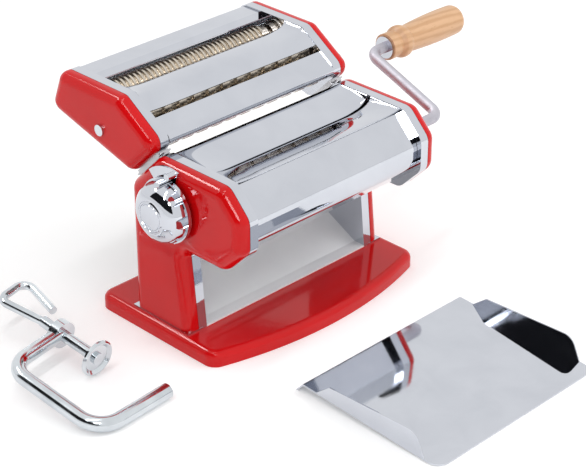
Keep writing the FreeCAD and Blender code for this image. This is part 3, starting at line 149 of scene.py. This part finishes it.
def spread(tree, value, low, high, to_low=0.0, to_high=1.0):
    """Maps a value between low and high to a new range, kept inside it."""
    values = {"Value": value, "From Min": low, "From Max": high, "To Min": to_low, "To Max": to_high}
    return add(tree, "ShaderNodeMapRange", values).outputs["Result"]


def times(tree, first, second):
    """The product of two values, each a number or a socket."""
    return add(tree, "ShaderNodeMath", {0: first, 1: second}, operation="MULTIPLY").outputs["Value"]


def blend_colours(tree, share, first, second):
    """One colour turning into another as the share goes from 0 to 1."""
    mix = add(tree, "ShaderNodeMix", {"Factor": share}, data_type="RGBA")
    for number, colour in ((MIX_FIRST, first), (MIX_SECOND, second)):
        if isinstance(colour, bpy.types.NodeSocket):
            tree.links.new(colour, mix.inputs[number])
        else:
            mix.inputs[number].default_value = rgba(colour)
    return mix.outputs[MIX_RESULT]


def edge_share(tree, radius):
    """Near 1 on sharp outer and inner edges of the piece and 0 on open faces."""
    soft = add(tree, "ShaderNodeBevel", {"Radius": radius}, samples=4).outputs["Normal"]
    flat = add(tree, "ShaderNodeNewGeometry").outputs["Normal"]
    dot = add(tree, "ShaderNodeVectorMath", {0: soft, 1: flat}, operation="DOT_PRODUCT").outputs["Value"]
    return spread(tree, dot, low=0.98, high=0.72)


def bump(tree, height, distance, strength, below=None):
    """A bumped normal, its full height a distance in metres, over another bump where one is given."""
    values = {"Height": height, "Distance": distance, "Strength": strength}
    if below is not None:
        values["Normal"] = below
    return add(tree, "ShaderNodeBump", values).outputs["Normal"]


def looked_at(tree):
    """1 for rays from the camera, from mirrors and through glass, and 0 for light that falls on surfaces."""
    rays = add(tree, "ShaderNodeLightPath").outputs
    seen = rays["Is Camera Ray"]
    for kind in ("Is Glossy Ray", "Is Transmission Ray"):
        seen = add(tree, "ShaderNodeMath", {0: seen, 1: rays[kind]}, operation="MAXIMUM").outputs["Value"]
    return seen


def new_material(name, **constants):
    """A node material; the constants are set on the shader's own sockets."""
    material = bpy.data.materials.new(name)
    material.use_nodes = True
    shader = material.node_tree.nodes["Principled BSDF"]
    for socket, value in constants.items():
        shader.inputs[socket.replace("_", " ")].default_value = value
    return material, material.node_tree, shader


def feed(tree, shader, **sockets):
    """Links sources to the shader's sockets, named with underscores for spaces."""
    for name, source in sockets.items():
        tree.links.new(source, shader.inputs[name.replace("_", " ")])


# Materials

def enamel():
    """Stoved red enamel: a faint orange peel, slightly uneven colour and rubbed edges."""
    material, tree, shader = new_material(
        "red_enamel", Coat_Weight=0.1, Coat_Roughness=0.03, Specular_IOR_Level=0.22)
    clouds = noise(tree, size=0.05, detail=2.0)
    paint = blend_colours(tree, spread(tree, clouds, low=0.3, high=0.8), RED, RED_DARK)
    edges = edge_share(tree, radius=0.0006)
    rubbed = times(tree, edges, spread(tree, noise(tree, size=0.004, detail=4.0), low=0.55, high=0.75))
    colour = blend_colours(tree, times(tree, rubbed, RUBBED_SHARE), paint, PRIMER)
    hairlines = noise(tree, size=0.0016, detail=2.0, stretch=(0.04, 1, 1))
    roughness = spread(tree, hairlines, low=0.2, high=0.9, to_low=0.06, to_high=0.14)
    peel = bump(tree, noise(tree, size=0.003, detail=2.0), distance=0.00006, strength=0.05)
    feed(tree, shader, Base_Color=colour, Roughness=roughness, Normal=peel)
    return material


def metal(name, light, dark, polish, dull, brushed, patch=0.03, depth=0.00002, metallic=1.0):
    """Bare or plated metal: cloudy tone, fine lines along the brushed direction, and smudges."""
    material, tree, shader = new_material(name, Metallic=metallic)
    clouds = spread(tree, noise(tree, size=patch, detail=4.0, distortion=0.4), low=0.35, high=0.75)
    lines = noise(tree, size=0.0007, stretch=brushed)
    tone = blend_colours(tree, times(tree, clouds, CLOUDED_SHARE), light, dark)
    edges = edge_share(tree, radius=0.0005)
    worn = times(tree, edges, spread(tree, noise(tree, size=0.003), low=0.4, high=0.7))
    colour = blend_colours(tree, times(tree, worn, WORN_SHARE), tone, dark)
    spots = noise(tree, size=patch / 2, detail=5.0)
    smudges = spread(tree, spots, low=0.35, high=0.7, to_low=polish, to_high=dull)
    roughness = add(tree, "ShaderNodeMath", {0: smudges, 1: times(tree, lines, polish)}, operation="ADD")
    scratches = bump(tree, lines, distance=depth, strength=0.2)
    waves = noise(tree, size=0.05, detail=1.0)
    ripples = bump(tree, waves, distance=0.0002, strength=0.06, below=scratches)
    feed(tree, shader, Base_Color=colour, Roughness=roughness.outputs["Value"], Normal=ripples)
    return material


def wood():
    """Turned beech: long grain, darker growth bands and short dark flecks under wax."""
    material, tree, shader = new_material(
        "beech", Coat_Weight=0.15, Coat_Roughness=0.25, Specular_IOR_Level=0.4)
    growth = {
        "Vector": object_places(tree, stretch=(0.12, 1, 1)),
        "Scale": 90.0,
        "Distortion": 5.0,
        "Detail": 3.0,
        "Detail Scale": 1.5,
    }
    bands = add(tree, "ShaderNodeTexWave", growth, wave_type="BANDS", bands_direction="DIAGONAL")
    grain = noise(tree, size=0.0009, detail=4.0, stretch=(0.05, 1, 1))
    banded = spread(tree, bands.outputs["Fac"], low=0.2, high=0.9)
    tone = blend_colours(tree, times(tree, banded, GRAINED_SHARE), BEECH, BEECH_DARK)
    flecks = spread(tree, noise(tree, size=0.0006, detail=2.0, stretch=(0.16, 1, 1)), low=0.62, high=0.72)
    colour = blend_colours(tree, times(tree, flecks, GRAINED_SHARE), tone, BEECH_DARK)
    roughness = spread(tree, grain, low=0.2, high=0.8, to_low=0.34, to_high=0.5)
    pores = bump(tree, grain, distance=0.00012, strength=0.4)
    feed(tree, shader, Base_Color=colour, Roughness=roughness, Normal=pores)
    return material


def floor_material():
    """Pale floor that the camera and reflections see as white, with the object's soft shadow on it."""
    material, tree, shader = new_material("pale_floor", Roughness=0.9, Specular_IOR_Level=0.1)
    grain = spread(tree, noise(tree, size=0.002, detail=2.0), low=0.3, high=0.7)
    colour = blend_colours(tree, grain, FLOOR, tuple(value * FLOOR_GRAIN for value in FLOOR))
    shader.inputs["Emission Color"].default_value = rgba(WHITE)
    glow = times(tree, looked_at(tree), FLOOR_GLOW)
    feed(tree, shader, Base_Color=colour, Emission_Strength=glow)
    return material


def make_materials():
    """All the materials by name; a metal has two tones, a roughness from polished to dull, and its lines."""
    metals = {
        "polished_chrome": dict(light=CHROME, dark=CHROME_DULL, polish=0.02, dull=0.05, brushed=ALONG_X),
        # The satin panel's near-white colour is painted reflection, not the chute's own colour.
        "satin_panel_painted_reflection": dict(
            light=SATIN_PAINTED_REFLECTION, dark=SATIN_DULL_PAINTED_REFLECTION, polish=0.3, dull=0.38, brushed=ALONG_X, metallic=0.12),
        "nickel_discs": dict(
            light=NICKEL, dark=NICKEL_DARK, polish=0.18, dull=0.28, brushed=AROUND_X, patch=0.006),
        "ground_steel": dict(light=STEEL, dark=STEEL_DARK, polish=0.2, dull=0.32, brushed=AROUND_X),
        "zinc_plating": dict(
            light=ZINC, dark=ZINC_DARK, polish=0.07, dull=0.16, brushed=ALONG_Y, depth=0.00003),
        "satin_rod": dict(light=ROD, dark=ROD_DARK, polish=0.34, dull=0.46, brushed=ACROSS_Z, patch=0.02),
        "gear_steel": dict(light=STEEL_DARK, dark=ZINC_DARK, polish=0.3, dull=0.45, brushed=AROUND_X),
        "bronze_bush": dict(light=BRONZE, dark=BRONZE_DARK, polish=0.28, dull=0.4, brushed=AROUND_X),
    }
    materials = {"red_enamel": enamel(), "beech": wood()}
    for name, values in metals.items():
        materials[name] = metal(name, **values)
    return materials


# Pieces that replace plain CAD nodes

# The troughed feed sheets, in metres: half length, run of the swept ends, wall, steps and gap under the rim
SHEET_END = 0.0767
SHEET_RUN = 0.024
SHEET_WALL = 0.0012
SHEET_STEPS = 14
RIM_GAP = 0.0004
# The height of the plates' edge beside the sheets
HOPPER_RIM = 0.132
CUTTER_RIM = 0.1635
# The cutter plates' edge rises to this crest, and is level behind it.
CUTTER_CREST = 0.0426
CUTTER_SLOPE = math.tan(math.radians(33.4))
# The share of each span that a corner loses when a section is smoothed
CORNER_CUT = 0.25
# Each sheet's replaced node, body, rim and section across the machine as (y, z) points
TROUGHS = {
    "front_hopper": ("front_hopper_plate", "frame", HOPPER_RIM, [
        (-0.0515, 0.1300), (-0.0450, 0.1290), (-0.0360, 0.1271), (-0.0285, 0.1252), (-0.0254, 0.1243),
        (-0.0248, 0.1230)]),
    "rear_hopper": ("rear_hopper_plate", "frame", HOPPER_RIM, [
        (-0.0212, 0.1216), (-0.0206, 0.1230), (-0.0180, 0.1243), (-0.0100, 0.1266), (0.0000, 0.1288),
        (0.0056, 0.1300)]),
    "cutter_trough": ("cutter_mid_plate", "cutter", CUTTER_RIM, [
        (0.0290, 0.1534), (0.0330, 0.1558), (0.0360, 0.1576), (0.0420, 0.1593), (0.0500, 0.1596),
        (0.0570, 0.1590), (0.0590, 0.1578), (0.0596, 0.1564)]),
}

# The dial's return spring: its wire in metres, its turns and the steps in each turn
SPRING_WIRE = 0.001
SPRING_TURNS = 2.5
SPRING_STEPS = 24

# The dial's face plate as (radius, inset from its outer plane), from the middle of the dome to the rim
FACE_STEPS = 72
FACE_PROFILE = [
    (0.0030, 0.00002), (0.0060, 0.00012), (0.0080, 0.00030), (0.0088, 0.00045), (0.0091, 0.00095),
    (0.0097, 0.00095), (0.0100, 0.00045), (0.0106, 0.00060), (0.0114, 0.00140),
]


def add_mesh(name, points, faces, material):
    """A mesh of the given points and faces, with one material."""
    mesh = bpy.data.meshes.new(name)
    mesh.from_pydata(points, [], faces)
    mesh.materials.append(material)
    return mesh


def add_object(name, data):
    """An object in the scene that shows the given mesh, lamp or camera."""
    made = bpy.data.objects.new(name, data)
    bpy.context.scene.collection.objects.link(made)
    return made


def smooth_section(points, rounds=2):
    """Cuts the corners of an open section, again and again, and keeps its two ends."""
    for _ in range(rounds):
        finer = [points[0]]
        for (y, z), (next_y, next_z) in zip(points, points[1:]):
            for share in (CORNER_CUT, 1 - CORNER_CUT):
                finer.append((y * (1 - share) + next_y * share, z * (1 - share) + next_z * share))
        points = finer + [points[-1]]
    return points


def cutter_edge(y):
    """The height of the cutter plates' edge: a slope up to the crest and level behind it."""
    return CUTTER_RIM - max(0.0, CUTTER_CREST - y) * CUTTER_SLOPE


def trough_columns():
    """Places along the machine with the share by which the sheet has risen there, as a quarter round."""
    columns = []
    for step in range(SHEET_STEPS, -1, -1):
        angle = math.pi / 2 * step / SHEET_STEPS
        columns.append((SHEET_END - SHEET_RUN * (1 - math.sin(angle)), 1 - math.cos(angle)))
    return [(-place, share) for place, share in columns] + columns[::-1]


def make_trough(name, node, body, rim, section, material):
    """A feed sheet whose ends sweep up to the side plates, in place of the plain bent sheet."""
    section = smooth_section(section)
    columns = trough_columns()
    points = []
    for place, share in columns:
        for y, z in section:
            edge = (cutter_edge(y) if rim == CUTTER_RIM else rim) - RIM_GAP
            points.append((place, y, z + max(0.0, edge - z) * share))
    rows = len(section)
    faces = []
    for column in range(len(columns) - 1):
        for row in range(rows - 1):
            corner = column * rows + row
            faces.append((corner, corner + rows, corner + rows + 1, corner + 1))
    mesh = add_mesh(name, points, faces, material)
    mesh.shade_smooth()
    sheet = add_object(name, mesh)
    wall = sheet.modifiers.new("wall", "SOLIDIFY")
    wall.thickness = SHEET_WALL
    wall.offset = -1.0
    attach(sheet, body)
    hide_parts(node)


def make_dial_face(material):
    """The dial's bare face plate: a shallow dome with a ring groove near its rim, turned about its axis."""
    low, high = (Vector(corner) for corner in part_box("dial_cap"))
    middle = (low + high) / 2
    depth = high.x - low.x
    profile = [*FACE_PROFILE, (FACE_PROFILE[-1][0], depth)]
    front, back = 0, 1
    points = [(low.x, middle.y, middle.z), (high.x, middle.y, middle.z)]
    first = len(points)
    for step in range(FACE_STEPS):
        angle = 2 * math.pi * step / FACE_STEPS
        across = math.cos(angle)
        up = math.sin(angle)
        for radius, inset in profile:
            points.append((low.x + inset, middle.y + radius * across, middle.z + radius * up))
    faces = []
    rows = len(profile)
    for step in range(FACE_STEPS):
        here = first + step * rows
        after = first + (step + 1) % FACE_STEPS * rows
        faces.append((front, after, here))
        faces.append((back, here + rows - 1, after + rows - 1))
        for row in range(rows - 1):
            faces.append((here + row, after + row, after + row + 1, here + row + 1))
    mesh = add_mesh("dial_face", points, faces, material)
    mesh.shade_smooth()
    mesh.set_sharp_from_angle(angle=SMOOTH_ANGLE)
    plate = add_object("dial_face", mesh)
    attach(plate, "dial")
    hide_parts("dial_cap")


def make_spring(material):
    """The dial's return spring: a wire coil in place of the plain spring node, carried by the dial."""
    low, high = (Vector(corner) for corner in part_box("dial_spring"))
    middle = (low + high) / 2
    radius = (high.y - low.y - SPRING_WIRE) / 2
    length = high.x - low.x - SPRING_WIRE
    steps = int(SPRING_TURNS * SPRING_STEPS)
    wire = bpy.data.curves.new("coil_line", "CURVE")
    wire.dimensions = "3D"
    wire.bevel_depth = SPRING_WIRE / 2
    line = wire.splines.new("POLY")
    line.points.add(steps)
    for step, point in enumerate(line.points):
        angle = 2 * math.pi * step / SPRING_STEPS
        place = high.x - SPRING_WIRE / 2 - length * step / steps
        point.co = (place, middle.y + radius * math.cos(angle), middle.z + radius * math.sin(angle), 1.0)
    route = bpy.data.objects.new("coil_line", wire)
    mesh = bpy.data.meshes.new_from_object(route)
    bpy.data.objects.remove(route)
    mesh.materials.clear()
    mesh.materials.append(material)
    mesh.shade_smooth()
    coil = add_object("dial_coil", mesh)
    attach(coil, "dial")
    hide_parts("dial_spring")
    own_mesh(coil)


# Scene

def make_pieces(materials):
    """The pieces that are finer than the CAD nodes they replace."""
    for name, (node, body, rim, section) in TROUGHS.items():
        make_trough(name, node, body, rim, section, materials["polished_chrome"])
    make_dial_face(materials["polished_chrome"])
    make_spring(materials["zinc_plating"])


def dress(frame, materials):
    """Gives each CAD node the material of its slot, with smooth shading over its rounded faces."""
    for part in frame["record"]["subparts"]:
        piece = frame["nodes"][part["node"]]
        piece.data.materials.clear()
        piece.data.materials.append(materials[OTHER_LOOKS.get(part["node"], part["material_slot"])])
        piece.data.shade_smooth()
        piece.data.set_sharp_from_angle(angle=SMOOTH_ANGLE)


def make_sheet(name, corners, material):
    """A flat four-sided piece of the studio, which isn't part of the object."""
    sheet = add_object(name, add_mesh(name, corners, [(0, 1, 2, 3)], material))
    return sheet


def make_floor():
    """A wide pale floor just under the object's feet."""
    signs = ((-1, -1), (1, -1), (1, 1), (-1, 1))
    corners = [(x * FLOOR_REACH, y * FLOOR_REACH, -FLOOR_DROP) for x, y in signs]
    make_sheet("floor", corners, floor_material())


def make_flag():
    """A dark flag on the left, seen only in reflections, as a studio uses for glossy metal."""
    black, _, shader = new_material("black_flag", Roughness=1.0, Specular_IOR_Level=0.0)
    shader.inputs["Base Color"].default_value = rgba(FLAG)
    front, rear = FLAG_Y
    low, high = FLAG_Z
    outline = ((front, low), (rear, low), (rear, high), (front, high))
    corners = [(FLAG_X, y, z) for y, z in outline]
    flag = make_sheet("left_flag", corners, black)
    flag.visible_camera = False
    flag.visible_diffuse = False
    flag.visible_shadow = False


def make_world():
    """White where the camera and reflections look, and a plain soft level for light on surfaces."""
    world = bpy.data.worlds.new("studio")
    world.use_nodes = True
    tree = world.node_tree
    light = tree.nodes["Background"]
    light.inputs["Color"].default_value = rgba(WHITE)
    strength = spread(tree, looked_at(tree), low=0.0, high=1.0, to_low=WORLD_LIGHT, to_high=1.0)
    tree.links.new(strength, light.inputs["Strength"])
    bpy.context.scene.world = world


def make_lamp(name, place, target, size, power, in_reflections=True, on_surfaces=True):
    """A soft rectangular lamp; it can be left out of reflections, or be there for highlights alone."""
    lamp = bpy.data.lights.new(name, "AREA")
    lamp.shape = "RECTANGLE"
    lamp.size, lamp.size_y = size
    lamp.energy = power
    holder = add_object(name, lamp)
    holder.location = place
    holder.visible_glossy = in_reflections
    holder.visible_diffuse = on_surfaces
    holder.rotation_euler = (Vector(target) - Vector(place)).to_track_quat("-Z", "Y").to_euler()


def make_lamps():
    """Three soft lamps light the object, and two more are there for its highlights alone."""
    make_lamp("top_strip", place=(-0.55, -0.1, 1.5), target=(0, 0, 0), size=(0.12, 1.4), power=5)
    make_lamp(
        "front_fill", place=(-0.35, -1.3, 0.3), target=(0, 0, 0.03), size=(0.9, 0.4), power=2.2,
        in_reflections=False)
    make_lamp(
        "rear_highlight", place=(-0.56, 1.17, 1.5), target=(0, 0, 0.1), size=(0.8, 0.2), power=9,
        on_surfaces=False)
    make_lamp(
        "front_highlight", place=(-0.93, -0.85, 1.12), target=(0, 0, 0.1), size=(0.4, 0.3), power=5,
        on_surfaces=False)
    make_lamp(
        "right_softbox", place=(1.0, -0.9, 1.2), target=(0, 0, 0.05), size=(1.0, 0.8), power=7,
        in_reflections=False)


def make_camera():
    """The photograph's camera: its lens, place and direction."""
    data = bpy.data.cameras.new("photo_camera")
    data.lens = CAMERA_LENS
    data.sensor_width = CAMERA_SENSOR
    camera = add_object("photo_camera", data)
    level = math.cos(CAMERA_ELEVATION)
    back = Vector((
        math.sin(CAMERA_AZIMUTH) * level,
        -math.cos(CAMERA_AZIMUTH) * level,
        math.sin(CAMERA_ELEVATION),
    ))
    camera.location = CAMERA_PLACE
    camera.rotation_euler = (-back).to_track_quat("-Z", "Y").to_euler()
    bpy.context.scene.camera = camera


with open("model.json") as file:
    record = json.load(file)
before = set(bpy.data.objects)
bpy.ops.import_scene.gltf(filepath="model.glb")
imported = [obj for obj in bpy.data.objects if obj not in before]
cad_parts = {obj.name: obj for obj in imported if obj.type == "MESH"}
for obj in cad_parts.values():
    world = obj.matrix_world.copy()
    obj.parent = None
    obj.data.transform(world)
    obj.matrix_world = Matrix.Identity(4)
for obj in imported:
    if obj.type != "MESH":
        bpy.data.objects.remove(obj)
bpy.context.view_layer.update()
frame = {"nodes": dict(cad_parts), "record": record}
materials = make_materials()
make_pieces(materials)
dress(frame, materials)
make_floor()
make_world()
make_flag()
make_lamps()
make_camera()
bpy.context.scene.view_settings.view_transform = "Standard"
